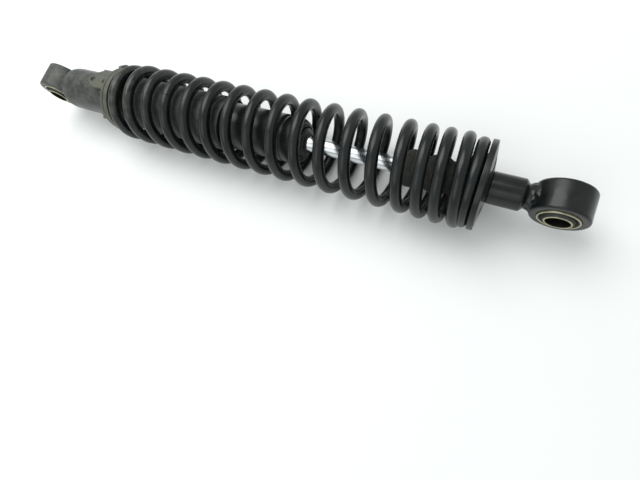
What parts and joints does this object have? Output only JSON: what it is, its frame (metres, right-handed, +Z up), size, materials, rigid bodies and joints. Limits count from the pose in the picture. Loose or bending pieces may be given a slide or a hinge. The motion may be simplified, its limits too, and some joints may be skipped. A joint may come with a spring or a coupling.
{
  "type": "rear shock absorber",
  "caption": "Coil-over rear shock absorber: twin-tube damper, stepped preload ring, progressive spring and rubber-bushed eyes.",
  "frame": {"origin": "centre of the lower eye's bolt bore", "axes": "+X along the shock towards the upper eye, +Y along both bolt bores, +Z up with the shock lying level"},
  "size_m": [0.3977, 0.054, 0.054],
  "materials": {
    "spring_black": "semi-gloss black powder coat",
    "gloss_black": "gloss black paint",
    "body_black": "satin black paint",
    "weathered_black": "dusty worn black paint",
    "dull_zinc": "weathered zinc plating",
    "yellow_zinc": "yellow zinc plating",
    "hard_chrome": "hard chrome, polished",
    "bush_rubber": "matt rubber",
    "seal_rubber": "smooth rubber",
    "bump_rubber": "matt brown-grey rubber",
    "black_plastic": "matt moulded plastic",
    "machined_steel": "machined",
    "machined_aluminium": "machined",
    "bronze_band": "bronze-filled bearing band"
  },
  "bodies": {
    "damper_body": {"lower_eye_ring": "weathered_black", "lower_bush_outer_sleeve": "yellow_zinc", "lower_bush_rubber": "bush_rubber", "damper_base_cap": "weathered_black", "lower_weld_bead": "weathered_black", "damper_tube": "body_black", "pressure_tube": "machined_steel", "base_valve_body": "machined_aluminium", "base_valve_disc": "machined_steel", "base_valve_rivet": "machined_steel", "rod_guide": "machined_aluminium", "oil_seal": "seal_rubber", "dust_wiper": "seal_rubber", "cam_stop_pins": "weathered_black"},
    "lower_mount_sleeve": {"lower_bush_inner_sleeve": "yellow_zinc"},
    "preload_seat": {"lower_spring_seat": "dull_zinc", "spring_guide_sleeve": "black_plastic", "coil_spring": "spring_black"},
    "preload_ring": {"preload_cam_ring": "dull_zinc"},
    "piston_slider": {"piston_ring": "bronze_band"},
    "rod_assembly": {"piston_rod": "hard_chrome", "piston": "machined_aluminium", "compression_shims": "machined_steel", "rebound_shims": "machined_steel", "shim_back_plate": "machined_steel", "piston_nut": "machined_steel", "top_out_rubber": "seal_rubber", "bump_stop": "bump_rubber", "bump_stop_washer": "machined_steel", "upper_spring_seat": "gloss_black", "upper_collar": "gloss_black", "upper_weld_bead": "gloss_black", "upper_eye_ring": "gloss_black", "upper_bush_outer_sleeve": "yellow_zinc", "upper_bush_rubber": "bush_rubber"},
    "upper_mount_sleeve": {"upper_bush_inner_sleeve": "yellow_zinc"}
  },
  "joints": [
    {"name": "lower_bush_twist", "type": "hinge", "parent": "damper_body", "child": "lower_mount_sleeve", "pos_m": [0, 0, 0], "axis": [0, 1, 0], "range_deg": [-15, 15], "stiffness_Nm_per_rad": 30},
    {"name": "preload_turn", "type": "hinge", "parent": "preload_seat", "child": "preload_ring", "pos_m": [0.06, 0, 0], "axis": [1, 0, 0], "range_deg": [-30.2, 90.2]},
    {"name": "preload_lift", "type": "slide", "parent": "damper_body", "child": "preload_seat", "axis": [1, 0, 0], "range_m": [-0.0105, 0.0035]},
    {"name": "damper_stroke", "type": "slide", "parent": "damper_body", "child": "piston_slider", "axis": [-1, 0, 0], "range_m": [0, 0.072], "stiffness_N_per_m": 15000, "springref_m": -0.012, "deforming": ["coil_spring", "bump_stop"]},
    {"name": "rod_swivel", "type": "hinge", "parent": "piston_slider", "child": "rod_assembly", "pos_m": [0.2, 0, 0], "axis": [1, 0, 0], "continuous": true},
    {"name": "upper_bush_twist", "type": "hinge", "parent": "rod_assembly", "child": "upper_mount_sleeve", "pos_m": [0.368, 0, 0], "axis": [0, 1, 0], "range_deg": [-15, 15], "stiffness_Nm_per_rad": 30}
  ],
  "couplings": [
    {"joint": "preload_turn", "follows": "preload_lift", "rad_per_m": -149.6}
  ]
}
